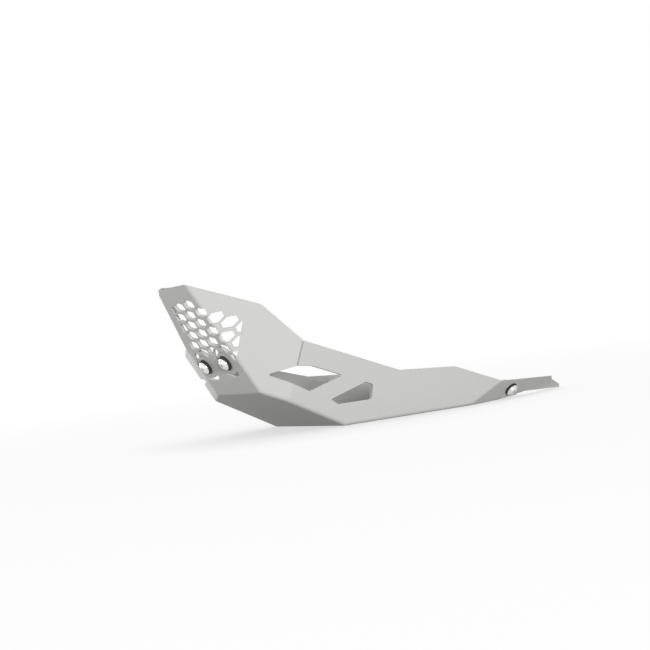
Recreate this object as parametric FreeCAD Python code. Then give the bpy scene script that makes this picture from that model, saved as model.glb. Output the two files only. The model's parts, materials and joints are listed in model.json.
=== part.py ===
"""Motorcycle engine guard: one folded, laser-cut aluminium sheet, its screws and their washers.

Frame: +X towards the front wheel, +Y to the rider's left, +Z up, millimetres and degrees.
The underside lies on Z = 0 and the origin is the middle of that flat underside.
"""
import FreeCAD, Part
import os
from math import atan2, cos, radians, sin, tan

Vector = FreeCAD.Vector

# Sheet and folds
SHEET = 4.0
BEND_RADIUS = 7.0

# Flat underside, between the ramp and the rear edge
FLOOR_LENGTH = 290.0
FLOOR_FRONT_LEFT = 76.0
FLOOR_FRONT_RIGHT = 107.0

# Ramp that lifts from the underside to the foot of the front panel
RAMP_RUN = 110.0
RAMP_RISE = 59.0

# Front panel: slope from level, length along the slope, half widths from the centre line
FRONT_SLOPE_ANGLE = 62.0
FRONT_LENGTH = 168.0
FRONT_FOOT_LEFT = 56.0
FRONT_HEAD_LEFT = 40.5
FRONT_FOOT_RIGHT = 57.5
FRONT_HEAD_RIGHT = 40.0
FRONT_CORNER_RADIUS = 9.0

# Right fold ends part way up, above it the right edge of the front panel is free
RIGHT_FOLD_RISE = 78.0
RIGHT_FOLD_HALF = 62.0

# Directions that the outer faces look in: turn from +X towards +Y, and lean below level
LEFT_WING_ANGLE = 56.0
LEFT_WALL_ANGLE = 77.0
LEFT_WALL_LEAN_ANGLE = 18.5
RIGHT_WING_ANGLE = -16.5
RIGHT_WALL_ANGLE = -86.0
RIGHT_WALL_LEAN_ANGLE = 4.0
TAIL_ANGLE = 99.5
TAIL_LEAN_ANGLE = 45.0

# Tail flanges, chamfers between the side walls and the underside
TAIL_START = -34.0
TAIL_HALF = 118.0
TAIL_RISE = 2.0
TAIL_LENGTH = 78.0
TAIL_EDGE_RISE = 5.0

# Heights of the top edges over the side view, front to rear
WING_SHOULDER_X, WING_SHOULDER_Z = 254.0, 171.0
WING_SHOULDER_RADIUS = 22.0
SEAM_TOP_X, SEAM_TOP_Z = 209.0, 118.5
WAIST_X, WAIST_Z = 75.0, 63.0
WAIST_RADIUS = 4.0
HIP_X, HIP_Z = -4.0, 57.0
HIP_RADIUS = 10.0
TAIL_TOP_X, TAIL_TOP_Z = -77.0, 27.5
TAIL_TIP_X, TAIL_TIP_Z = -192.0, 20.0
TAIL_NOTCH = 5.0
RIGHT_WAIST_X, RIGHT_WAIST_Z = 175.0, 92.0

# Outer top corner of the right wing, measured on the front panel
RIGHT_SHOULDER_HALF, RIGHT_SHOULDER_RISE = 106.0, 58.0

# Vents in the side walls: a long diamond across the front fold and a short wedge behind it
CUTOUT_RADIUS = 3.0
CUTOUT_TIP_RADIUS = 1.5
LEFT_DIAMOND_TIP = 248.0
RIGHT_DIAMOND_TIP = 263.5
DIAMOND_TIP_Z = 81.5
DIAMOND_LENGTH = 95.0
DIAMOND_SHOULDER = 33.0
DIAMOND_BACK = 53.0
DIAMOND_BELLY = 51.0
DIAMOND_RISE = 6.0
DIAMOND_TOP_FALL = 3.0
DIAMOND_DROP = 29.0
DIAMOND_TAIL_DROP = 14.5
WEDGE_TIP = 168.0
WEDGE_TIP_Z = 38.0
WEDGE_LENGTH = 57.0
WEDGE_SHOULDER = 11.0
WEDGE_RISE = 16.0
WEDGE_TOP_FALL = 4.5
WEDGE_DROP = 8.0

# Honeycomb, unrolled on the front panel and over the fold on to the left wing
CELL_PITCH = 27.5
ROW_PITCH = 14.1
CELL_WEB = 4.4
FRONT_ROWS = 6
WING_ROWS = 7
FIRST_ROW_RISE = 138.2
FIRST_ROW_START = -36.0
FIRST_ROW_END = 19.0
EDGE_MARGIN = 16.0
WING_LIMIT_LOW_ACROSS = 50.5
WING_LIMIT_LOW_RISE = 53.0
WING_LIMIT_HIGH_ACROSS = 82.5
WING_LIMIT_HIGH_RISE = 93.5
SMALLEST_CELL_WIDTH = 3.7

# Tilt of the pattern and the front screws, and the pattern's growth across the fold
PATTERN_TILT_ANGLE = 2.8
FOLD_GROWTH = 6.5

# Front screws, each in a round land with arc slots about it
FRONT_SCREW_CENTRE = -9.5
FRONT_SCREW_HALF = 28.5
FRONT_SCREW_RISE = 48.2
LAND_RADIUS = 24.0
DISC_RADIUS = 16.0
SLIT_WIDTH = 1.4
SIDE_SLOT_WIDTH = 7.0
SMILE_INNER_RADIUS = 18.5
SMILE_WIDTH = 5.5

# Where each arc slot starts and ends, turning from left to up about the screw
UPPER_SLIT_ANGLES = (36.0, 88.0)
NEAR_SLIT_ANGLES = (-14.0, 12.0)
SIDE_SLOT_ANGLES = (108.0, 168.0)
SMILE_ANGLES = (234.0, 306.0)

# Rear screws in the tail flanges
REAR_SCREW_X = -106.5
REAR_SCREW_Z = 13.5

# Washers under the screw heads
FRONT_WASHER_DIAMETER = 22.0
REAR_WASHER_DIAMETER = 19.0
WASHER_THICKNESS = 3.0

# Flanged button-head screws, their threads drawn at the pitch diameter
SHANK_DIAMETER = 8.0
SHANK_LENGTH = 9.0
THREAD_DIAMETER = 7.2
THREAD_LENGTH = 18.0
HOLE_CLEARANCE = 1.0
FLANGE_DIAMETER = 17.5
FLANGE_THICKNESS = 1.6
HEAD_DIAMETER = 14.0
HEAD_HEIGHT = 4.6
SOCKET_ACROSS = 5.0
SOCKET_DEPTH = 2.6
CROWN_DIAMETER = 7.5
DOME_DIAMETER = 12.0
DOME_HEIGHT = 3.7

# Seam groove along the fold between the left wing and the left wall
SEAM_RADIUS = 1.1
SEAM_DEPTH = 0.7

# Lip below each tail flange behind the underside
LIP_DROP = 4.6

# How near a point must be to lie on a face
ON_FACE = 1e-5

FLOOR_FRONT = FLOOR_LENGTH / 2
FLOOR_REAR = -FLOOR_LENGTH / 2
FOOT = Vector(FLOOR_FRONT + RAMP_RUN, 0, RAMP_RISE)
FRONT_UP = Vector(cos(radians(FRONT_SLOPE_ANGLE)), 0, sin(radians(FRONT_SLOPE_ANGLE)))
FRONT_NORMAL = Vector(FRONT_UP.z, 0, -FRONT_UP.x)
LEFT = Vector(0, 1, 0)
HOLE_RADIUS = (SHANK_DIAMETER + HOLE_CLEARANCE) / 2
ENVELOPE = FLOOR_LENGTH + RAMP_RUN + FRONT_LENGTH + TAIL_LENGTH
TILT = tan(radians(PATTERN_TILT_ANGLE))


def front_point(across, rise):
    """Point on the front panel's outer face, from the middle of its foot."""
    return FOOT + LEFT * across + FRONT_UP * rise


def facing(turn, lean):
    """Unit vector that looks in a direction given by its turn and its lean below level."""
    level = cos(radians(lean))
    return Vector(cos(radians(turn)) * level, sin(radians(turn)) * level, -sin(radians(lean)))


def facing_along(turn, line):
    """Unit vector with the given turn that is square to a line lying in the face."""
    level = Vector(cos(radians(turn)), sin(radians(turn)), 0)
    return (level - Vector(0, 0, 1) * (level.dot(line) / line.z)).normalize()


LEFT_FOLD_FOOT = front_point(FRONT_FOOT_LEFT, 0)
LEFT_FOLD_HEAD = front_point(FRONT_HEAD_LEFT, FRONT_LENGTH)
RIGHT_FOLD_FOOT = front_point(-FRONT_FOOT_RIGHT, 0)
RIGHT_FOLD_HEAD = front_point(-RIGHT_FOLD_HALF, RIGHT_FOLD_RISE)
WING_NORMAL = facing_along(LEFT_WING_ANGLE, LEFT_FOLD_HEAD - LEFT_FOLD_FOOT)
RIGHT_WING_NORMAL = facing_along(RIGHT_WING_ANGLE, RIGHT_FOLD_HEAD - RIGHT_FOLD_FOOT)
RAMP_NORMAL = Vector(RAMP_RISE, 0, -RAMP_RUN).normalize()
TAIL_POINT = {side: Vector(TAIL_START, side * TAIL_HALF, TAIL_RISE) for side in (1, -1)}
TAIL_NORMAL = {side: facing(side * TAIL_ANGLE, TAIL_LEAN_ANGLE) for side in (1, -1)}

# Outer faces of the folded sheet: a point on each and the direction it looks in
PANELS = [
    (FOOT, FRONT_NORMAL),
    (FOOT, RAMP_NORMAL),
    (Vector(0, 0, 0), Vector(0, 0, -1)),
    (LEFT_FOLD_FOOT, WING_NORMAL),
    (Vector(FLOOR_FRONT, FLOOR_FRONT_LEFT, 0), facing(LEFT_WALL_ANGLE, LEFT_WALL_LEAN_ANGLE)),
    (RIGHT_FOLD_FOOT, RIGHT_WING_NORMAL),
    (Vector(FLOOR_FRONT, -FLOOR_FRONT_RIGHT, 0), facing(RIGHT_WALL_ANGLE, RIGHT_WALL_LEAN_ANGLE)),
    (TAIL_POINT[1], TAIL_NORMAL[1]),
    (TAIL_POINT[-1], TAIL_NORMAL[-1]),
]


def dropped(point, on_face, normal):
    """Point moved square to the front panel on to another face."""
    return point + FRONT_NORMAL * ((on_face - point).dot(normal) / FRONT_NORMAL.dot(normal))


def rounded_outline(corners, place):
    """Closed wire through (u, v, radius) corners, each rounded, put in space by place(u, v)."""
    edges = []
    count = len(corners)
    joints = []
    for index, (u, v, radius) in enumerate(corners):
        before, after = corners[index - 1], corners[(index + 1) % count]
        to_before = Vector(before[0] - u, before[1] - v, 0).normalize()
        to_after = Vector(after[0] - u, after[1] - v, 0).normalize()
        half = to_before.getAngle(to_after) / 2
        run = radius / tan(half)
        middle = (to_before + to_after).normalize() * (radius / sin(half) - radius)
        corner = Vector(u, v, 0)
        joints.append([corner + to_before * run, corner + middle, corner + to_after * run])
    for index, (start, middle, end) in enumerate(joints):
        here = [place(point.x, point.y) for point in (start, middle, end)]
        if corners[index][2] > 0:
            edges.append(Part.Arc(*here).toShape())
        following = joints[(index + 1) % count][0]
        edges.append(Part.LineSegment(here[2], place(following.x, following.y)).toShape())
    return Part.Wire(edges)


def side_tool(corners, side):
    """Cutting prism of a side-view outline, through the sheet on one side of the part."""
    wire = rounded_outline(corners, lambda x, z: Vector(x, 0, z))
    return Part.Face(wire).extrude(LEFT * side * ENVELOPE)


def front_tool(corners):
    """Cutting prism of an outline drawn on the front panel, square to that panel."""
    wire = rounded_outline(corners, front_point)
    face = Part.Face(wire)
    face.translate(FRONT_NORMAL * ENVELOPE)
    return face.extrude(FRONT_NORMAL * -2 * ENVELOPE)


def half_space(point, normal):
    """Large block that fills the inner side of a face."""
    corner = Vector(-ENVELOPE, -ENVELOPE, -ENVELOPE)
    block = Part.makeBox(2 * ENVELOPE, 2 * ENVELOPE, ENVELOPE, corner)
    block.Placement = FreeCAD.Placement(point, FreeCAD.Rotation(Vector(0, 0, 1), normal))
    return block


def folded_body(depth, radius):
    """Convex body inside the outer faces, moved in by depth, with its folds rounded."""
    rear = FLOOR_REAR - TAIL_LENGTH - depth
    top = front_point(0, FRONT_LENGTH).z + SHEET + depth
    body = Part.makeBox(ENVELOPE, ENVELOPE, ENVELOPE, Vector(rear, -ENVELOPE / 2, top - ENVELOPE))
    faces = [(point - normal * depth, normal) for point, normal in PANELS]
    for point, normal in faces:
        body = body.common(half_space(point, normal))

    def is_fold(edge):
        middle = edge.valueAt((edge.FirstParameter + edge.LastParameter) / 2)
        return sum(abs((middle - point).dot(normal)) < ON_FACE for point, normal in faces) == 2

    return body.makeFillet(radius, [edge for edge in body.Edges if is_fold(edge)])


def folded_sheet():
    """The sheet with all its folds, before its outline is cut."""
    return folded_body(0, BEND_RADIUS).cut(folded_body(SHEET, BEND_RADIUS - SHEET))


def outline_tools():
    """Tools that leave the sheet's free edges."""
    high = FRONT_LENGTH + ENVELOPE
    wide = FRONT_HEAD_LEFT + ENVELOPE
    front = front_tool([
        (wide, FRONT_LENGTH, 0),
        (-FRONT_HEAD_RIGHT, FRONT_LENGTH, FRONT_CORNER_RADIUS),
        (-RIGHT_FOLD_HALF, RIGHT_FOLD_RISE, 0),
        (-RIGHT_SHOULDER_HALF, RIGHT_SHOULDER_RISE, 0),
        (-RIGHT_SHOULDER_HALF - ENVELOPE, RIGHT_SHOULDER_RISE, 0),
        (-RIGHT_SHOULDER_HALF - ENVELOPE, high, 0),
        (wide, high, 0),
    ])
    left_head = front_point(0, FRONT_LENGTH)
    right_corner = front_point(-RIGHT_SHOULDER_HALF, RIGHT_SHOULDER_RISE)
    right_head = dropped(right_corner, RIGHT_FOLD_FOOT, RIGHT_WING_NORMAL)
    top = left_head.z + ENVELOPE
    rear = FLOOR_REAR - ENVELOPE
    tail = [
        (WAIST_X, WAIST_Z, WAIST_RADIUS),
        (HIP_X, HIP_Z, HIP_RADIUS),
        (TAIL_TOP_X, TAIL_TOP_Z, 0),
        (TAIL_TIP_X, TAIL_TIP_Z, 0),
        (TAIL_TIP_X - TAIL_NOTCH, TAIL_TIP_Z - TAIL_NOTCH, 0),
        (FLOOR_REAR - TAIL_LENGTH, TAIL_EDGE_RISE, 0),
        (rear, TAIL_EDGE_RISE, 0),
        (rear, top, 0),
    ]
    left = side_tool([
        (left_head.x + ENVELOPE, top, 0),
        (left_head.x + ENVELOPE, left_head.z, 0),
        (left_head.x, left_head.z, 0),
        (WING_SHOULDER_X, WING_SHOULDER_Z, WING_SHOULDER_RADIUS),
        (SEAM_TOP_X, SEAM_TOP_Z, 0),
    ] + tail, 1)
    right = side_tool([
        (right_head.x, top, 0),
        (right_head.x, right_head.z, 0),
        (RIGHT_WAIST_X, RIGHT_WAIST_Z, WAIST_RADIUS),
    ] + tail, -1)
    past_fold = half_space(front_point(-RIGHT_FOLD_HALF, 0), LEFT)
    behind_floor = Part.makeBox(2 * TAIL_LENGTH, ENVELOPE, TAIL_EDGE_RISE + SHEET)
    behind_floor.translate(Vector(FLOOR_REAR - 2 * TAIL_LENGTH, -ENVELOPE / 2, -SHEET))
    return [front, left, right.common(past_fold), behind_floor]


def diamond_outline(tip):
    """Side-view corners of the long vent, from its front tip."""
    high, low = DIAMOND_TIP_Z + DIAMOND_RISE, DIAMOND_TIP_Z - DIAMOND_DROP
    return [
        (tip, DIAMOND_TIP_Z, CUTOUT_TIP_RADIUS),
        (tip - DIAMOND_SHOULDER, high, CUTOUT_RADIUS),
        (tip - DIAMOND_BACK, high - DIAMOND_TOP_FALL, CUTOUT_RADIUS),
        (tip - DIAMOND_LENGTH, DIAMOND_TIP_Z - DIAMOND_TAIL_DROP, CUTOUT_TIP_RADIUS),
        (tip - DIAMOND_BELLY, low, CUTOUT_RADIUS),
    ]


def wedge_outline():
    """Side-view corners of the short vent, from its front tip."""
    rear, high, low = WEDGE_TIP - WEDGE_LENGTH, WEDGE_TIP_Z + WEDGE_RISE, WEDGE_TIP_Z - WEDGE_DROP
    return [
        (WEDGE_TIP, WEDGE_TIP_Z, CUTOUT_TIP_RADIUS),
        (rear + WEDGE_SHOULDER, high, CUTOUT_RADIUS),
        (rear, high - WEDGE_TOP_FALL, CUTOUT_RADIUS),
        (rear, low, CUTOUT_RADIUS),
        (WEDGE_TIP - WEDGE_SHOULDER, low, CUTOUT_RADIUS),
    ]


def vent_tools():
    """Long and short vents through both side walls."""
    diamonds = ((1, LEFT_DIAMOND_TIP), (-1, RIGHT_DIAMOND_TIP))
    vents = [side_tool(diamond_outline(tip), side) for side, tip in diamonds]
    return vents + [side_tool(wedge_outline(), side) for side in (1, -1)]


def clip(outline, start, end):
    """Part of a convex outline on the left of the line from start to end."""
    run, rise = end[0] - start[0], end[1] - start[1]

    def offset(point):
        return run * (point[1] - start[1]) - rise * (point[0] - start[0])

    kept = []
    for index, point in enumerate(outline):
        previous = outline[index - 1]
        now, before = offset(point), offset(previous)
        if (now > 0) != (before > 0):
            share = before / (before - now)
            kept.append(tuple(b + (p - b) * share for p, b in zip(point, previous)))
        if now > 0:
            kept.append(point)
    return kept


def area(outline):
    """Area of a flat outline, positive when it runs anticlockwise."""
    return sum(a[0] * b[1] - b[0] * a[1] for a, b in zip(outline, outline[1:] + outline[:1])) / 2


def cell_places():
    """Row of each cell and its place across the unrolled sheet; the last row is on the wing only."""
    places = []
    for row in range(WING_ROWS):
        column = FIRST_ROW_START + (row % 2) * CELL_PITCH / 2
        while column <= FIRST_ROW_END + row * CELL_PITCH / 2 + CELL_WEB:
            if row < FRONT_ROWS or column > FRONT_HEAD_LEFT:
                places.append((row, column))
            column += CELL_PITCH
    return places


def cell_outlines():
    """Cells of the honeycomb on the unrolled sheet, cut short at the edges of the pattern."""
    half_width = (CELL_PITCH - CELL_WEB) / 2
    half_side = ROW_PITCH / 3 - CELL_WEB / 4
    half_height = 2 * ROW_PITCH / 3 - CELL_WEB / 2
    edge_low = (-RIGHT_FOLD_HALF + EDGE_MARGIN, RIGHT_FOLD_RISE)
    edge_high = (-FRONT_HEAD_RIGHT + EDGE_MARGIN, FRONT_LENGTH)
    wing_low = (WING_LIMIT_LOW_ACROSS, WING_LIMIT_LOW_RISE)
    wing_high = (WING_LIMIT_HIGH_ACROSS, WING_LIMIT_HIGH_RISE)
    cells = []
    for row, column in cell_places():
        past_fold = min(max((column - FIRST_ROW_END) / CELL_PITCH, 0), 1)
        across = column + past_fold * FOLD_GROWTH
        rise = FIRST_ROW_RISE - row * ROW_PITCH + across * TILT
        cell = [
            (across + half_width, rise - half_side), (across + half_width, rise + half_side),
            (across, rise + half_height), (across - half_width, rise + half_side),
            (across - half_width, rise - half_side), (across, rise - half_height),
        ]
        cell = clip(cell, edge_high, edge_low)
        cells.append(clip(cell, wing_low, wing_high))
    return cells


def prism(outline, place, normal):
    """Cutting prism of a flat outline, square to the face that it lies on."""
    corners = [place(*point) for point in outline]
    face = Part.Face(Part.makePolygon(corners + corners[:1]))
    face.translate(normal * BEND_RADIUS)
    return face.extrude(normal * -(2 * BEND_RADIUS + SHEET))


def honeycomb_tools():
    """Prisms of the honeycomb on the front panel and, past the fold, on the left wing."""
    fold_low, fold_high = (FRONT_FOOT_LEFT, 0), (FRONT_HEAD_LEFT, FRONT_LENGTH)
    fold = (LEFT_FOLD_HEAD - LEFT_FOLD_FOOT).normalize()
    outward = WING_NORMAL.cross(fold) * -1
    lean = atan2(FRONT_FOOT_LEFT - FRONT_HEAD_LEFT, FRONT_LENGTH)

    def wing_point(across, rise):
        along = (rise * cos(lean)) - (across - FRONT_FOOT_LEFT) * sin(lean)
        out = (across - FRONT_FOOT_LEFT) * cos(lean) + rise * sin(lean)
        return LEFT_FOLD_FOOT + fold * along + outward * out

    lands = [land_tool(side) for side in (1, -1)]
    tools = []
    for cell in cell_outlines():
        on_front = clip(cell, fold_low, fold_high) if cell else []
        on_wing = clip(cell, fold_high, fold_low) if cell else []
        pieces = ((on_front, front_point, FRONT_NORMAL), (on_wing, wing_point, WING_NORMAL))
        for outline, place, normal in pieces:
            if len(outline) > 2 and area(outline) > SMALLEST_CELL_WIDTH ** 2:
                tool = prism(outline, place, normal).cut(lands)
                smallest = SMALLEST_CELL_WIDTH ** 2 * (2 * BEND_RADIUS + SHEET)
                tools += [solid for solid in tool.Solids if solid.Volume > smallest]
    return tools


def front_screw_seat(side):
    """Middle of a front screw's hole, on the outer face of the front panel."""
    across = side * FRONT_SCREW_HALF
    return front_point(FRONT_SCREW_CENTRE + across, FRONT_SCREW_RISE + across * TILT)


def land_tool(side):
    """Round land that the honeycomb leaves whole about a front screw."""
    start = front_screw_seat(side) + FRONT_NORMAL * ENVELOPE
    return Part.makeCylinder(LAND_RADIUS, 2 * ENVELOPE, start, FRONT_NORMAL * -1)


def arc_slot_tool(side, inner, width, angles):
    """Arc-shaped slot through the front panel, centred on a screw, with round ends."""
    seat = front_screw_seat(side)

    def polar(radius, degrees):
        turn = radians(degrees)
        return seat + LEFT * (radius * cos(turn)) + FRONT_UP * (radius * sin(turn))

    low, high = angles
    outer, middle = inner + width, inner + width / 2
    end_turn = width / 2 / radians(middle)
    edges = [
        Part.Arc(*[polar(outer, turn) for turn in (low, (low + high) / 2, high)]),
        Part.Arc(polar(outer, high), polar(middle, high + end_turn), polar(inner, high)),
        Part.Arc(*[polar(inner, turn) for turn in (high, (low + high) / 2, low)]),
        Part.Arc(polar(inner, low), polar(middle, low - end_turn), polar(outer, low)),
    ]
    face = Part.Face(Part.Wire([edge.toShape() for edge in edges]))
    face.translate(FRONT_NORMAL * SHEET)
    return face.extrude(FRONT_NORMAL * -3 * SHEET)


def front_screw_tools(side):
    """A front screw's hole and the arc slots about it."""
    start = front_screw_seat(side) + FRONT_NORMAL * SHEET
    return [
        Part.makeCylinder(HOLE_RADIUS, 3 * SHEET, start, FRONT_NORMAL * -1),
        arc_slot_tool(side, DISC_RADIUS, SLIT_WIDTH, UPPER_SLIT_ANGLES),
        arc_slot_tool(side, DISC_RADIUS, SLIT_WIDTH, NEAR_SLIT_ANGLES),
        arc_slot_tool(side, DISC_RADIUS, SIDE_SLOT_WIDTH, SIDE_SLOT_ANGLES),
        arc_slot_tool(side, SMILE_INNER_RADIUS, SMILE_WIDTH, SMILE_ANGLES),
    ]


def rear_screw_seat(side):
    """Middle of a rear screw's hole, on the outer face of the tail flange."""
    point, normal = TAIL_POINT[side], TAIL_NORMAL[side]
    across = (point.x - REAR_SCREW_X) * normal.x + (point.z - REAR_SCREW_Z) * normal.z
    return Vector(REAR_SCREW_X, point.y + across / normal.y, REAR_SCREW_Z)


def rear_hole_tool(side):
    """Hole for a rear screw, square to its tail flange."""
    normal = TAIL_NORMAL[side]
    start = rear_screw_seat(side) + normal * SHEET
    return Part.makeCylinder(HOLE_RADIUS, 3 * SHEET, start, normal * -1)


def tail_lip(side):
    """Upright lip that grows along a tail flange's lower edge, behind the underside."""
    point, normal = TAIL_POINT[side], TAIL_NORMAL[side]

    def edge_point(x, drop):
        along = (point.x - x) * normal.x + (point.z - TAIL_EDGE_RISE) * normal.z
        return Vector(x, point.y + along / normal.y, TAIL_EDGE_RISE - drop)

    rear = FLOOR_REAR - TAIL_LENGTH
    corners = [edge_point(FLOOR_REAR, 0), edge_point(rear, 0), edge_point(rear, LIP_DROP)]
    inward = Vector(-normal.x, -normal.y, 0).normalize()
    return Part.Face(Part.makePolygon(corners + corners[:1])).extrude(inward * SHEET)


def seam_tool():
    """Groove along the fold between the left wing and the left wall, down to the long vent."""
    wall_point, wall_normal = PANELS[4]
    fold = WING_NORMAL.cross(wall_normal).normalize()
    if fold.z < 0:
        fold = fold * -1
    outward = (WING_NORMAL + wall_normal).normalize()
    half = WING_NORMAL.getAngle(wall_normal) / 2
    corner = LEFT_FOLD_FOOT + WING_NORMAL.cross(fold) * (
        (wall_point - LEFT_FOLD_FOOT).dot(wall_normal) / WING_NORMAL.cross(fold).dot(wall_normal))
    start = corner + fold * ((DIAMOND_TIP_Z - corner.z) / fold.z)
    rounding = BEND_RADIUS * (1 / cos(half) - 1)
    axis = start + outward * (SEAM_RADIUS - SEAM_DEPTH - rounding)
    return Part.makeCylinder(SEAM_RADIUS, ENVELOPE, axis, fold)


def build_plate():
    """The guard itself, cut from one sheet."""
    plate = folded_sheet().cut(outline_tools())
    plate = plate.cut(vent_tools())
    plate = plate.cut(honeycomb_tools())
    plate = plate.cut(seam_tool())
    for side in (1, -1):
        plate = plate.cut(front_screw_tools(side) + [rear_hole_tool(side)])
        plate = plate.fuse(tail_lip(side))
    return plate.removeSplitter()


def build_screw():
    """Flanged button-head screw, its seat on Z = 0 and its shank downwards."""
    flange = Part.makeCylinder(FLANGE_DIAMETER / 2, FLANGE_THICKNESS)
    shank = Part.makeCylinder(SHANK_DIAMETER / 2, SHANK_LENGTH, Vector(0, 0, -SHANK_LENGTH))
    thread_end = Vector(0, 0, -SHANK_LENGTH - THREAD_LENGTH)
    thread = Part.makeCylinder(THREAD_DIAMETER / 2, THREAD_LENGTH, thread_end)
    waist = Part.makeCone(HEAD_DIAMETER / 2, DOME_DIAMETER / 2, DOME_HEIGHT - FLANGE_THICKNESS,
                          Vector(0, 0, FLANGE_THICKNESS))
    dome = Part.makeCone(DOME_DIAMETER / 2, CROWN_DIAMETER / 2, HEAD_HEIGHT - DOME_HEIGHT,
                         Vector(0, 0, DOME_HEIGHT))
    corner = Vector(SOCKET_ACROSS / 2 / cos(radians(30)), 0, HEAD_HEIGHT - SOCKET_DEPTH)
    turns = [FreeCAD.Rotation(Vector(0, 0, 1), 60 * step) for step in range(7)]
    hexagon = [turn.multVec(corner) for turn in turns]
    socket = Part.Face(Part.makePolygon(hexagon)).extrude(Vector(0, 0, 2 * SOCKET_DEPTH))
    return flange.fuse([waist, dome, shank, thread]).removeSplitter().cut(socket)


def build_washer(diameter):
    """Flat washer with its lower face on Z = 0."""
    bore = Part.makeCylinder(HOLE_RADIUS, WASHER_THICKNESS)
    return Part.makeCylinder(diameter / 2, WASHER_THICKNESS).cut(bore)


def placed(shape, seat, normal):
    """A shape with its Z = 0 on a seat, looking along the seat's outward direction."""
    shape.Placement = FreeCAD.Placement(seat, FreeCAD.Rotation(Vector(0, 0, 1), normal))
    return shape


def main():
    os.makedirs("parts", exist_ok=True)
    parts = {"guard_plate": build_plate()}
    for name, side in (("left", 1), ("right", -1)):
        seats = (
            ("front", front_screw_seat(side), FRONT_NORMAL, FRONT_WASHER_DIAMETER),
            ("rear", rear_screw_seat(side), TAIL_NORMAL[side], REAR_WASHER_DIAMETER),
        )
        for place, seat, normal, diameter in seats:
            head_seat = seat + normal * WASHER_THICKNESS
            parts[place + "_washer_" + name] = placed(build_washer(diameter), seat, normal)
            parts[place + "_screw_" + name] = placed(build_screw(), head_seat, normal)
    for name, shape in parts.items():
        shape.exportStep("parts/" + name + ".step")
        print(name, shape.isValid(), len(shape.Solids), round(shape.Volume))


main()
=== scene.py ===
"""Engine guard of a travel motorcycle: coated sheet, plated screws, rubber washers, studio."""
import json
from math import atan2, cos, hypot, radians, sin, tau

import bpy
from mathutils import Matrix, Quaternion, Vector

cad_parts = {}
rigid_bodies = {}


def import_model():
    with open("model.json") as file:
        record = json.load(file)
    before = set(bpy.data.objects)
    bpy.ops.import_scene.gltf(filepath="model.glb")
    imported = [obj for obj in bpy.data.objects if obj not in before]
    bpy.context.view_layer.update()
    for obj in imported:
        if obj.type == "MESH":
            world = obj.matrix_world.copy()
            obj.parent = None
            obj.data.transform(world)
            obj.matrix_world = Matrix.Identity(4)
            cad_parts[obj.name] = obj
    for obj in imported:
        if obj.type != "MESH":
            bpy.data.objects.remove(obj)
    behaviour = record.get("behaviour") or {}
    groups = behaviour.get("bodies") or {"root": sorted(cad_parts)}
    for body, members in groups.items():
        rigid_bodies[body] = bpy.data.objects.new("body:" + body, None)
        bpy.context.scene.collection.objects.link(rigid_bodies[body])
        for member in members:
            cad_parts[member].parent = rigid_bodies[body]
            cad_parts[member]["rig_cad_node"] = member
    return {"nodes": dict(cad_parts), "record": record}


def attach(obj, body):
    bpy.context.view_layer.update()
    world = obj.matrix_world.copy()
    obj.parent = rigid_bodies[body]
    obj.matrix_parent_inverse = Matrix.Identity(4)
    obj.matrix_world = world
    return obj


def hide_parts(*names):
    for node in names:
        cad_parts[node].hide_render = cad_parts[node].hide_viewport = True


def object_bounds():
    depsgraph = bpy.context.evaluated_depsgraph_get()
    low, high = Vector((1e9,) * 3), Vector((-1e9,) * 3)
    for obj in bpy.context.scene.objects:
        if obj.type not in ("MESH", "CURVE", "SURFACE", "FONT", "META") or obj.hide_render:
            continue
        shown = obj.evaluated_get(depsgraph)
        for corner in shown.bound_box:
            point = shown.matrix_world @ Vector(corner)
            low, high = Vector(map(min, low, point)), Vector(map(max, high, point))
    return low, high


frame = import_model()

bl_info = {
    "name": "Engine guard",
    "version": (1, 0, 0),
    "blender": (4, 5, 0),
    "location": "View3D > Sidebar > Engine Guard",
    "description": "Finishes a folded engine guard and sets it in a plain studio",
    "category": "Object",
}

MM = 0.001
MERGE_DISTANCE = 0.005 * MM
CAD_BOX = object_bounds()
MOUNTS = {mount["name"]: mount for mount in frame["record"]["mounts"]}

SHEET_SMOOTH_ANGLE = radians(30)
TURNED_SMOOTH_ANGLE = radians(35)
LATHE_STEPS = 64
SEAM_SIDES = 24
SOCKET_SIDES = 6
SHANK_CHAMFER = 0.3 * MM

# Grain of the finishes.
FLECK_SIZE = 0.9 * MM
PEEL_SIZE = 1.2 * MM
CLOUD_SIZE = 3 * MM
RUBBER_GRAIN = 0.8 * MM
BUMP_HEIGHT = 0.1 * MM

# Thread: radii as shares of the shank's radius, heights as shares of the pitch.
THREAD_TIP = 0.72
THREAD_ROOT = 0.84
THREAD_CREST = 0.985
FIRST_ROOT_HEIGHT = 0.3
ROOT_TO_CREST = 0.5

# Screw head from its seat to its crown: shares of the flange's radius and of the head's height.
HEAD_OUTLINE = (
    (0.94, 0.0), (0.985, 0.06), (1.0, 0.14), (1.0, 0.26), (0.985, 0.33), (0.94, 0.38), (0.82, 0.42),
    (0.79, 0.46), (0.77, 0.55), (0.72, 0.69), (0.65, 0.82), (0.56, 0.92), (0.47, 0.98), (0.4, 1.0),
    (0.0, 1.0),
)

# Lower half of a washer: distance out from its bore or in from its rim, and height, in thicknesses.
WASHER_BORE_EDGE = ((0.0, 0.1), (0.1, 0.0))
WASHER_RIM_EDGE = ((0.25, 0.0), (0.07, 0.1), (0.0, 0.3))

# Stage: how much of the world's white lights the object, how much of the floor is white near it,
# how dark the floor is where they touch, and how many shadow reaches away it is all white.
AMBIENT_LIGHT = 0.11
FLOOR_WHITE_SHARE = 0.95
CONTACT_LEVEL = 0.7
WHITE_DISTANCE = 5
SENSOR_WIDTH = 36.0

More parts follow.
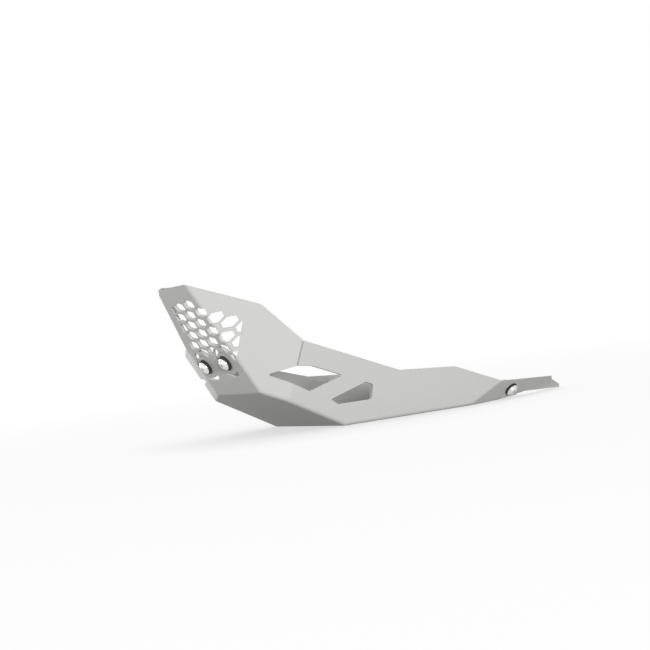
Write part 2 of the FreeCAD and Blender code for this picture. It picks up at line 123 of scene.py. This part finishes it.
# Softboxes that face the object: name, place, width and height, power in watts.
LAMPS = (
    ("left_softbox", (1.05, 2.64, 0.32), (1.2, 0.5), 64.0),
    ("right_softbox", (0.25, -1.90, 0.16), (1.0, 0.3), 32.0),
    ("front_softbox", (2.60, -0.50, 0.25), (0.8, 0.3), 12.0),
    ("top_softbox", (0.05, 0.00, 1.80), (1.0, 1.0), 10.0),
)


class GuardSheetSettings(bpy.types.PropertyGroup):
    head_height: bpy.props.FloatProperty(
        name="Head height",
        description="Height of the front panel's top edge on the left",
        default=207.36 * MM, unit="LENGTH")
    head_run: bpy.props.FloatProperty(
        name="Head run",
        description="Width from the middle over which the top edge rises to the right",
        default=29.0 * MM, unit="LENGTH")
    seam_foot: bpy.props.FloatVectorProperty(
        name="Seam foot",
        description="Where the seam between the left wing and wall meets the long vent",
        default=(216.5 * MM, 86.3 * MM, 81.8 * MM), subtype="XYZ", unit="LENGTH")
    seam_rise: bpy.props.FloatVectorProperty(
        name="Seam direction",
        description="Direction of the seam from the long vent to the top edge",
        default=(-0.184, 0.357, 0.916), subtype="DIRECTION")
    seam_length: bpy.props.FloatProperty(
        name="Seam length",
        description="Length of the tool that presses the seam",
        default=60.0 * MM, unit="LENGTH")
    seam_radius: bpy.props.FloatProperty(
        name="Seam radius",
        description="Radius of the seam's groove",
        default=1.2 * MM, unit="LENGTH")
    relief_start: bpy.props.FloatProperty(
        name="Relief start",
        description="Where the corner under a tail flange starts to rise",
        default=-91.0 * MM, unit="LENGTH")
    relief_end: bpy.props.FloatProperty(
        name="Relief end",
        description="Rear edge of the underside, where the rise ends",
        default=-145.0 * MM, unit="LENGTH")
    relief_rise: bpy.props.FloatProperty(
        name="Relief rise",
        description="Height of a tail flange's lower edge at the rear",
        default=5.0 * MM, unit="LENGTH")
    relief_inside: bpy.props.FloatProperty(
        name="Relief inside",
        description="Distance of the relief's inner side from the middle",
        default=84.0 * MM, unit="LENGTH")


class GuardFinishSettings(bpy.types.PropertyGroup):
    coat_colour: bpy.props.StringProperty(
        name="Coat",
        description="sRGB hex of the satin silver coat",
        default="D2D2D0")
    fleck_colour: bpy.props.StringProperty(
        name="Fleck",
        description="sRGB hex of the coat's darker flecks",
        default="CDCDCB")
    # Painted shade: the dark grey that the coat's colour is mixed towards in narrow grooves and
    # creases.
    crease_shade_colour: bpy.props.StringProperty(
        name="Crease shade",
        description="sRGB hex of the road dust in narrow grooves",
        default="767673")
    # Painted shade: grooves and creases narrower than this reach get the darker colour.
    crease_shade_reach: bpy.props.FloatProperty(
        name="Grime reach",
        description="Width of the grooves in which dust stays",
        default=2.5 * MM, unit="LENGTH")
    edge_round: bpy.props.FloatProperty(
        name="Edge round",
        description="Rounding that the coat gives cut edges",
        default=0.5 * MM, min=0, unit="LENGTH")


class GuardScrewSettings(bpy.types.PropertyGroup):
    flange_radius: bpy.props.FloatProperty(
        name="Flange radius",
        description="Radius of the screw head's flange",
        default=8.75 * MM, unit="LENGTH")
    head_height: bpy.props.FloatProperty(
        name="Head height",
        description="Height of the screw head above its seat",
        default=4.6 * MM, unit="LENGTH")
    socket_across: bpy.props.FloatProperty(
        name="Socket",
        description="Width across the flats of the hexagon socket",
        default=5.0 * MM, unit="LENGTH")
    socket_depth: bpy.props.FloatProperty(
        name="Socket depth",
        description="Depth of the hexagon socket",
        default=2.6 * MM, unit="LENGTH")
    shank_radius: bpy.props.FloatProperty(
        name="Shank radius",
        description="Radius of the plain shank",
        default=4.0 * MM, unit="LENGTH")
    shank_length: bpy.props.FloatProperty(
        name="Shank length",
        description="Length of the plain shank below the head",
        default=9.0 * MM, unit="LENGTH")
    thread_length: bpy.props.FloatProperty(
        name="Thread length",
        description="Length of the thread below the shank",
        default=10.0 * MM, unit="LENGTH")
    thread_pitch: bpy.props.FloatProperty(
        name="Thread pitch",
        description="Distance from crest to crest",
        default=1.25 * MM, unit="LENGTH")
    bore_radius: bpy.props.FloatProperty(
        name="Washer bore",
        description="Radius of the hole in a washer",
        default=4.5 * MM, unit="LENGTH")
    front_washer_radius: bpy.props.FloatProperty(
        name="Front washer",
        description="Outer radius of the front washers",
        default=11.0 * MM, unit="LENGTH")
    rear_washer_radius: bpy.props.FloatProperty(
        name="Rear washer",
        description="Outer radius of the rear washers",
        default=9.5 * MM, unit="LENGTH")
    washer_thickness: bpy.props.FloatProperty(
        name="Washer thickness",
        description="Thickness of a washer",
        default=3.0 * MM, unit="LENGTH")
    plate_colour: bpy.props.StringProperty(
        name="Plating",
        description="sRGB hex of the screws' bright zinc",
        default="E6E6E4")
    rubber_colour: bpy.props.StringProperty(
        name="Rubber",
        description="sRGB hex of the washers' black rubber",
        default="161616")


class GuardStageSettings(bpy.types.PropertyGroup):
    floor_colour: bpy.props.StringProperty(
        name="Floor",
        description="sRGB hex of the floor's paper as it is lit",
        default="8C8C8A")
    shadow_reach: bpy.props.FloatProperty(
        name="Shadow reach",
        description="Distance from the object within which the floor shows its shadow",
        default=0.35, unit="LENGTH")
    contact_reach: bpy.props.FloatProperty(
        name="Contact reach",
        description="Width of the soft shadow where the object meets the floor",
        default=0.15, unit="LENGTH")
    floor_size: bpy.props.FloatProperty(
        name="Floor size",
        description="Side of the square floor",
        default=40.0, unit="LENGTH")
    camera_place: bpy.props.FloatVectorProperty(
        name="Camera",
        description="Where the camera stands",
        default=(1.0814, 1.4927, 0.1336), subtype="XYZ", unit="LENGTH")
    camera_look: bpy.props.FloatVectorProperty(
        name="Look",
        description="Direction that the camera looks in",
        default=(-0.5465, -0.8375, 0.0003), subtype="DIRECTION")
    camera_roll: bpy.props.FloatProperty(
        name="Roll",
        description="Turn of the camera about its own line of sight",
        default=radians(-7.56), subtype="ANGLE")
    lens: bpy.props.FloatProperty(
        name="Lens",
        description="Focal length on a 36 mm sensor",
        default=72.0, unit="CAMERA")


def linear(hex_colour):
    """Linear RGBA of an sRGB hex colour."""
    channels = [int(hex_colour[i:i + 2], 16) / 255 for i in (0, 2, 4)]
    return [c / 12.92 if c <= 0.04045 else ((c + 0.055) / 1.055) ** 2.4 for c in channels] + [1.0]


def add_node(tree, kind, settings=None, values=None, links=None):
    """Add a node, set its properties and input values, and link sockets into its inputs."""
    node = tree.nodes.new(kind)
    for name, value in (settings or {}).items():
        setattr(node, name, value)
    for name, value in (values or {}).items():
        node.inputs[name].default_value = value
    for name, socket in (links or {}).items():
        tree.links.new(socket, node.inputs[name])
    return node


def new_material(name):
    """Empty node material and its tree."""
    material = bpy.data.materials.new(name)
    material.use_nodes = True
    material.node_tree.nodes.clear()
    return material, material.node_tree


def finish_material(tree, shader):
    """Link a shader to the material's output."""
    add_node(tree, "ShaderNodeOutputMaterial", links={"Surface": shader.outputs[0]})


def satin_coat(settings):
    """Silver powder coat on aluminium: matte, with fine flecks, orange peel and painted shade in
    narrow grooves.
    """
    material, tree = new_material("satin_silver_powder_coat")
    place = add_node(tree, "ShaderNodeTexCoord").outputs["Object"]
    flecks = add_node(tree, "ShaderNodeTexNoise", values={"Scale": 1 / FLECK_SIZE, "Detail": 3.0},
                      links={"Vector": place})
    colour = add_node(tree, "ShaderNodeValToRGB", links={"Fac": flecks.outputs["Fac"]})
    colour.color_ramp.elements[0].color = linear(settings.fleck_colour)
    colour.color_ramp.elements[0].position = 0.3
    colour.color_ramp.elements[1].color = linear(settings.coat_colour)
    colour.color_ramp.elements[1].position = 0.6
    # Painted shade: ambient occlusion over this reach mixes the coat towards a dark grey in grooves
    # and creases, where shade falls.
    gap = add_node(tree, "ShaderNodeAmbientOcclusion", {"samples": 8, "only_local": True},
                   {"Distance": settings.crease_shade_reach})
    crease_shade = add_node(tree, "ShaderNodeMapRange", values={"From Min": 0.2, "From Max": 0.6},
                     links={"Value": gap.outputs["AO"]})
    shaded_coat = add_node(tree, "ShaderNodeMix", {"data_type": "RGBA"}, links={
        "Factor": crease_shade.outputs["Result"], "B": colour.outputs["Color"]})
    shaded_coat.inputs["A"].default_value = linear(settings.crease_shade_colour)
    peel = add_node(tree, "ShaderNodeTexNoise", values={"Scale": 1 / PEEL_SIZE, "Detail": 1.0},
                    links={"Vector": place})
    edge = add_node(tree, "ShaderNodeBevel", {"samples": 4}, {"Radius": settings.edge_round})
    bump = add_node(tree, "ShaderNodeBump", values={"Strength": 0.12, "Distance": BUMP_HEIGHT},
                    links={"Height": peel.outputs["Fac"], "Normal": edge.outputs["Normal"]})
    shader = add_node(tree, "ShaderNodeBsdfPrincipled",
                      values={"Roughness": 0.55, "Specular IOR Level": 0.25},
                      links={"Base Color": shaded_coat.outputs["Result"],
                             "Normal": bump.outputs["Normal"]})
    finish_material(tree, shader)
    return material


def zinc_plate(settings):
    """Bright zinc on steel: near white and shiny, with a gloss that clouds a little."""
    material, tree = new_material("bright_zinc_plated_steel")
    place = add_node(tree, "ShaderNodeTexCoord").outputs["Object"]
    cloud = add_node(tree, "ShaderNodeTexNoise", values={"Scale": 1 / CLOUD_SIZE, "Detail": 2.0},
                     links={"Vector": place})
    rough = add_node(tree, "ShaderNodeMapRange", values={"To Min": 0.2, "To Max": 0.36},
                     links={"Value": cloud.outputs["Fac"]})
    shader = add_node(tree, "ShaderNodeBsdfPrincipled",
                      values={"Base Color": linear(settings.plate_colour), "Metallic": 0.85},
                      links={"Roughness": rough.outputs["Result"]})
    finish_material(tree, shader)
    return material


def black_rubber(settings):
    """Moulded black rubber: deep and dull, with a fine grain that catches a little light."""
    material, tree = new_material("moulded_black_rubber")
    place = add_node(tree, "ShaderNodeTexCoord").outputs["Object"]
    grain = add_node(tree, "ShaderNodeTexNoise", values={"Scale": 1 / RUBBER_GRAIN, "Detail": 2.0},
                     links={"Vector": place})
    bump = add_node(tree, "ShaderNodeBump", values={"Strength": 0.3, "Distance": BUMP_HEIGHT},
                    links={"Height": grain.outputs["Fac"]})
    rough = add_node(tree, "ShaderNodeMapRange", values={"To Min": 0.6, "To Max": 0.85},
                     links={"Value": grain.outputs["Fac"]})
    shader = add_node(tree, "ShaderNodeBsdfPrincipled",
                      values={"Base Color": linear(settings.rubber_colour)},
                      links={"Roughness": rough.outputs["Result"],
                             "Normal": bump.outputs["Normal"]})
    finish_material(tree, shader)
    return material


def seen_directly(tree):
    """1 where a surface is seen, also in metal or through glass, and 0 where it only lights."""
    path = add_node(tree, "ShaderNodeLightPath")
    seen = add_node(tree, "ShaderNodeMath", {"operation": "MAXIMUM"}, links={
        0: path.outputs["Is Camera Ray"], 1: path.outputs["Is Glossy Ray"]})
    return add_node(tree, "ShaderNodeMath", {"operation": "MAXIMUM"}, links={
        0: seen.outputs["Value"], 1: path.outputs["Is Transmission Ray"]}).outputs["Value"]


def plain_floor(settings):
    """Studio paper that is seen as white, with the object's soft shadow and no edge in view."""
    material, tree = new_material("pale_studio_floor")
    place = add_node(tree, "ShaderNodeTexCoord").outputs["Object"]
    distance = add_node(tree, "ShaderNodeVectorMath", {"operation": "LENGTH"}, links={0: place})
    white = add_node(tree, "ShaderNodeMapRange",
                     values={"From Min": settings.shadow_reach, "To Min": FLOOR_WHITE_SHARE,
                             "From Max": WHITE_DISTANCE * settings.shadow_reach, "To Max": 1.0},
                     links={"Value": distance.outputs["Value"]})
    paper = add_node(tree, "ShaderNodeBsdfDiffuse", values={"Color": linear(settings.floor_colour)})
    open_sky = add_node(tree, "ShaderNodeAmbientOcclusion", {"samples": 16},
                        {"Distance": settings.contact_reach})
    shaded = add_node(tree, "ShaderNodeMapRange", values={"To Min": CONTACT_LEVEL, "To Max": 1.0},
                      links={"Value": open_sky.outputs["AO"]})
    glow = add_node(tree, "ShaderNodeEmission", links={"Strength": shaded.outputs["Result"]})
    share = add_node(tree, "ShaderNodeMath", {"operation": "MULTIPLY"},
                     links={0: seen_directly(tree), 1: white.outputs["Result"]})
    shader = add_node(tree, "ShaderNodeMixShader", links={
        "Fac": share.outputs["Value"], 1: paper.outputs["BSDF"], 2: glow.outputs["Emission"]})
    finish_material(tree, shader)
    return material


def lathe(name, profile):
    """Turn a profile of (radius, height) points about Z into a smooth closed piece."""
    bpy.ops.object.select_all(action="DESELECT")
    bpy.ops.mesh.primitive_plane_add(size=MM)
    piece = bpy.context.object
    piece.name = name
    bpy.ops.object.mode_set(mode="EDIT")
    bpy.ops.mesh.select_all(action="SELECT")
    bpy.ops.mesh.merge(type="CENTER")
    here = (0.0, 0.0)
    for index, (radius, height) in enumerate(profile):
        move = (radius - here[0], 0, height - here[1])
        if index:
            bpy.ops.mesh.extrude_vertices_move(TRANSFORM_OT_translate={"value": move})
        else:
            bpy.ops.transform.translate(value=move)
        here = (radius, height)
    bpy.ops.mesh.select_all(action="SELECT")
    bpy.ops.mesh.spin(steps=LATHE_STEPS, angle=tau, center=(0, 0, 0), axis=(0, 0, 1))
    bpy.ops.mesh.select_all(action="SELECT")
    bpy.ops.mesh.remove_doubles(threshold=MERGE_DISTANCE)
    bpy.ops.mesh.normals_make_consistent(inside=False)
    bpy.ops.object.mode_set(mode="OBJECT")
    return piece


def pick(piece):
    """Make a piece the only selected one."""
    bpy.ops.object.select_all(action="DESELECT")
    piece.select_set(True)
    bpy.context.view_layer.objects.active = piece


def merge(piece):
    """Merge a piece's doubled points and dissolve faces without area."""
    pick(piece)
    bpy.ops.object.mode_set(mode="EDIT")
    bpy.ops.mesh.select_all(action="SELECT")
    bpy.ops.mesh.remove_doubles(threshold=MERGE_DISTANCE)
    bpy.ops.mesh.dissolve_degenerate(threshold=MERGE_DISTANCE)
    bpy.ops.object.mode_set(mode="OBJECT")


def remove(piece):
    """Delete a tool or a pattern piece after its use."""
    pick(piece)
    bpy.ops.object.delete()


def cut_with(tool, piece):
    """Cut a piece with a tool and delete the tool."""
    faces_before = len(piece.data.polygons)
    pick(piece)
    cut = piece.modifiers.new("Cut", "BOOLEAN")
    cut.operation = "DIFFERENCE"
    cut.object = tool
    bpy.ops.object.modifier_apply(modifier=cut.name)
    merge(piece)
    if len(piece.data.polygons) in (0, faces_before):
        raise RuntimeError(f"{tool.name} cut nothing from {piece.name}, or all of it")
    remove(tool)


def box_tool(centre, size, turn):
    """Box of a given size, turned about its centre."""
    bpy.ops.object.select_all(action="DESELECT")
    bpy.ops.mesh.primitive_cube_add(size=1.0, location=centre, rotation=turn, scale=size)
    return bpy.context.object


def rod_tool(centre, along, radius, length, sides):
    """Straight rod with a given number of sides."""
    bpy.ops.object.select_all(action="DESELECT")
    bpy.ops.mesh.primitive_cylinder_add(
        vertices=sides, radius=radius, depth=length, location=centre,
        rotation=Vector(along).to_track_quat("Z", "Y").to_euler())
    return bpy.context.object


def merged_copy(node_name, name):
    """Copy a carried-over node and merge its loose triangles into a closed skin."""
    pick(frame["nodes"][node_name])
    bpy.ops.object.duplicate()
    copy = bpy.context.object
    copy.name = name
    # The mark says that the frame owns the object, which isn't so for a copy.
    del copy["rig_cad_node"]
    merge(copy)
    return copy


def head_tool(settings):
    """Slanted box that slopes away the step in the front panel's top edge."""
    run = settings.head_run
    step = CAD_BOX[1][2] - settings.head_height
    tilt = atan2(step, run)
    centre = (CAD_BOX[1][0], -run / 2 + sin(tilt) * run / 2,
              settings.head_height + step / 2 + cos(tilt) * run / 2)
    return box_tool(centre, (2 * run, hypot(run, step), run), (-tilt, 0, 0))


def seam_tool(settings):
    """Thin rod along the fold between the left wing and wall, from the long vent upwards."""
    rise = Vector(settings.seam_rise)
    centre = Vector(settings.seam_foot) + rise * settings.seam_length / 2
    return rod_tool(centre, rise, settings.seam_radius, settings.seam_length, SEAM_SIDES)


def relief_tool(settings, side):
    """Slanted box that frees the corner between the underside and a tail flange."""
    run = settings.relief_start - settings.relief_end
    tilt = atan2(settings.relief_rise, run)
    deep = 2 * settings.relief_rise
    wide = settings.relief_inside / 2
    centre = (
        (settings.relief_start + settings.relief_end) / 2 - sin(tilt) * deep / 2,
        side * (settings.relief_inside + wide / 2),
        settings.relief_rise / 2 - cos(tilt) * deep / 2,
    )
    return box_tool(centre, (hypot(run, settings.relief_rise), wide, deep), (0, tilt, 0))


def seated_copy(piece, name, seat, outward):
    """Copy a piece with its own mesh on to a seat, its Z turned to the outward direction."""
    pick(piece)
    bpy.ops.object.duplicate()
    copy = bpy.context.object
    copy.name = name
    copy.location = seat
    copy.rotation_euler = outward.to_track_quat("Z", "Y").to_euler()
    bpy.ops.object.transform_apply(location=True, rotation=True, scale=True)
    bpy.ops.object.shade_smooth_by_angle(angle=TURNED_SMOOTH_ANGLE)
    return copy


def screw_seats(settings):
    """Name, seat and outward direction of each screw's head."""
    seats = []
    for name, mount in MOUNTS.items():
        if mount["kind"] == "pin":
            inward = Vector(mount["axis"])
            # The mount stands at the middle of the thread that the record states.
            behind = settings.shank_length + mount["dims"]["length_mm"] * MM / 2
            seat = Vector(mount["pos_m"]) - inward * behind
            seats.append((name.removesuffix("_end"), seat, -inward))
    if not seats:
        raise RuntimeError("The frame's record has no screw ends, so no screw has a seat")
    return seats


class GUARD_OT_form_sheet(bpy.types.Operator):
    """Trim the folded sheet's edges, press its seam and coat it"""
    bl_idname = "guard.form_sheet"
    bl_label = "Form the sheet"

    def execute(self, context):
        settings = context.scene.guard_sheet
        sheet = merged_copy("guard_plate", "guard_plate_formed")
        cut_with(head_tool(settings), sheet)
        cut_with(seam_tool(settings), sheet)
        for side in (1, -1):
            cut_with(relief_tool(settings, side), sheet)
        pick(sheet)
        bpy.ops.object.shade_smooth_by_angle(angle=SHEET_SMOOTH_ANGLE)
        even = sheet.modifiers.new("Even", "WEIGHTED_NORMAL")
        even.keep_sharp = True
        bpy.ops.object.modifier_apply(modifier=even.name)
        sheet.data.materials.clear()
        sheet.data.materials.append(satin_coat(context.scene.guard_finish))
        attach(sheet, "root")
        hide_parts("guard_plate")
        return {"FINISHED"}


class GUARD_OT_set_screws(bpy.types.Operator):
    """Turn a flanged screw, cut its socket and set one at each seat"""
    bl_idname = "guard.set_screws"
    bl_label = "Set the screws"

    def execute(self, context):
        settings = context.scene.guard_screws
        flange, head = settings.flange_radius, settings.head_height
        shank, pitch = settings.shank_radius, settings.thread_pitch
        end = -settings.shank_length - settings.thread_length
        profile = [(0, end), (THREAD_TIP * shank, end)]
        for crest in range(int(settings.thread_length / pitch)):
            height = end + pitch * (crest + FIRST_ROOT_HEIGHT)
            profile += [(THREAD_ROOT * shank, height),
                        (THREAD_CREST * shank, height + ROOT_TO_CREST * pitch)]
        profile += [(THREAD_ROOT * shank, -settings.shank_length),
                    (shank, -settings.shank_length + SHANK_CHAMFER), (shank, 0)]
        profile += [(out * flange, up * head) for out, up in HEAD_OUTLINE]
        pattern = lathe("screw_pattern", profile)
        hexagon_radius = settings.socket_across / 3 ** 0.5
        socket = rod_tool((0, 0, head), (0, 0, 1), hexagon_radius, 2 * settings.socket_depth,
                          SOCKET_SIDES)
        cut_with(socket, pattern)
        plate = zinc_plate(settings)
        for name, seat, outward in screw_seats(settings):
            screw = seated_copy(pattern, name + "_turned", seat, outward)
            screw.data.materials.append(plate)
            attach(screw, "root")
            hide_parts(name)
        remove(pattern)
        return {"FINISHED"}


class GUARD_OT_set_washers(bpy.types.Operator):
    """Mould a rubber washer of each size and set one under each screw head"""
    bl_idname = "guard.set_washers"
    bl_label = "Set the washers"

    def execute(self, context):
        settings = context.scene.guard_screws
        rubber = black_rubber(settings)
        bore, thick = settings.bore_radius, settings.washer_thickness
        sizes = {"front": settings.front_washer_radius, "rear": settings.rear_washer_radius}
        for place, radius in sizes.items():
            lower = [(bore + out * thick, up * thick) for out, up in WASHER_BORE_EDGE]
            lower += [(radius - inset * thick, up * thick) for inset, up in WASHER_RIM_EDGE]
            upper = [(across, thick - up) for across, up in reversed(lower)]
            pattern = lathe(place + "_washer_pattern", lower + upper + lower[:1])
            for name, seat, outward in screw_seats(settings):
                if name.startswith(place):
                    node = name.replace("screw", "washer")
                    foot = seat - outward * thick
                    washer = seated_copy(pattern, node + "_moulded", foot, outward)
                    washer.data.materials.append(rubber)
                    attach(washer, "root")
                    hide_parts(node)
            remove(pattern)
        return {"FINISHED"}


class GUARD_OT_stage(bpy.types.Operator):
    """Lay the floor, hang the lights and set the camera"""
    bl_idname = "guard.stage"
    bl_label = "Set the stage"

    def execute(self, context):
        settings = context.scene.guard_stage
        bpy.ops.object.select_all(action="DESELECT")
        bpy.ops.mesh.primitive_plane_add(size=settings.floor_size)
        floor = context.object
        floor.name = "studio_floor"
        floor.data.materials.append(plain_floor(settings))
        for name, place, (wide, high), power in LAMPS:
            bpy.ops.object.light_add(type="AREA", location=place)
            lamp = context.object
            lamp.name = name
            lamp.data.shape = "RECTANGLE"
            lamp.data.size, lamp.data.size_y = wide, high
            lamp.data.energy = power
            lamp.rotation_euler = (-Vector(place)).to_track_quat("-Z", "Y").to_euler()
        world = context.scene.world or bpy.data.worlds.new("studio")
        context.scene.world = world
        world.use_nodes = True
        tree = world.node_tree
        strength = add_node(tree, "ShaderNodeMapRange",
                            values={"To Min": AMBIENT_LIGHT, "To Max": 1.0},
                            links={"Value": seen_directly(tree)})
        background = tree.nodes["Background"]
        background.inputs["Color"].default_value = linear("FFFFFF")
        tree.links.new(strength.outputs["Result"], background.inputs["Strength"])
        bpy.ops.object.camera_add(location=settings.camera_place)
        camera = context.object
        camera.data.lens = settings.lens
        camera.data.sensor_width = SENSOR_WIDTH
        camera.rotation_mode = "QUATERNION"
        aim = Vector(settings.camera_look).to_track_quat("-Z", "Y")
        camera.rotation_quaternion = aim @ Quaternion((0, 0, 1), settings.camera_roll)
        context.scene.camera = camera
        context.scene.view_settings.view_transform = "Standard"
        return {"FINISHED"}


class GUARD_PT_panel(bpy.types.Panel):
    """Steps of the engine guard's finish"""
    bl_idname = "GUARD_PT_panel"
    bl_label = "Engine guard"
    bl_space_type = "VIEW_3D"
    bl_region_type = "UI"
    bl_category = "Engine Guard"

    def draw(self, context):
        for group in SETTINGS:
            settings = getattr(context.scene, group)
            for name in settings.__annotations__:
                self.layout.prop(settings, name)
        for step in STEPS:
            self.layout.operator(step)


STEPS = ("guard.form_sheet", "guard.set_screws", "guard.set_washers", "guard.stage")
SETTINGS = {"guard_sheet": GuardSheetSettings, "guard_finish": GuardFinishSettings,
            "guard_screws": GuardScrewSettings, "guard_stage": GuardStageSettings}
CLASSES = (*SETTINGS.values(), GUARD_OT_form_sheet, GUARD_OT_set_screws, GUARD_OT_set_washers,
           GUARD_OT_stage, GUARD_PT_panel)


def register():
    for cls in CLASSES:
        bpy.utils.register_class(cls)
    for name, group in SETTINGS.items():
        setattr(bpy.types.Scene, name, bpy.props.PointerProperty(type=group))


def unregister():
    for name in SETTINGS:
        delattr(bpy.types.Scene, name)
    for cls in reversed(CLASSES):
        bpy.utils.unregister_class(cls)


def main():
    register()
    bpy.ops.guard.form_sheet()
    bpy.ops.guard.set_screws()
    bpy.ops.guard.set_washers()
    bpy.ops.guard.stage()


if __name__ == "__main__":
    main()
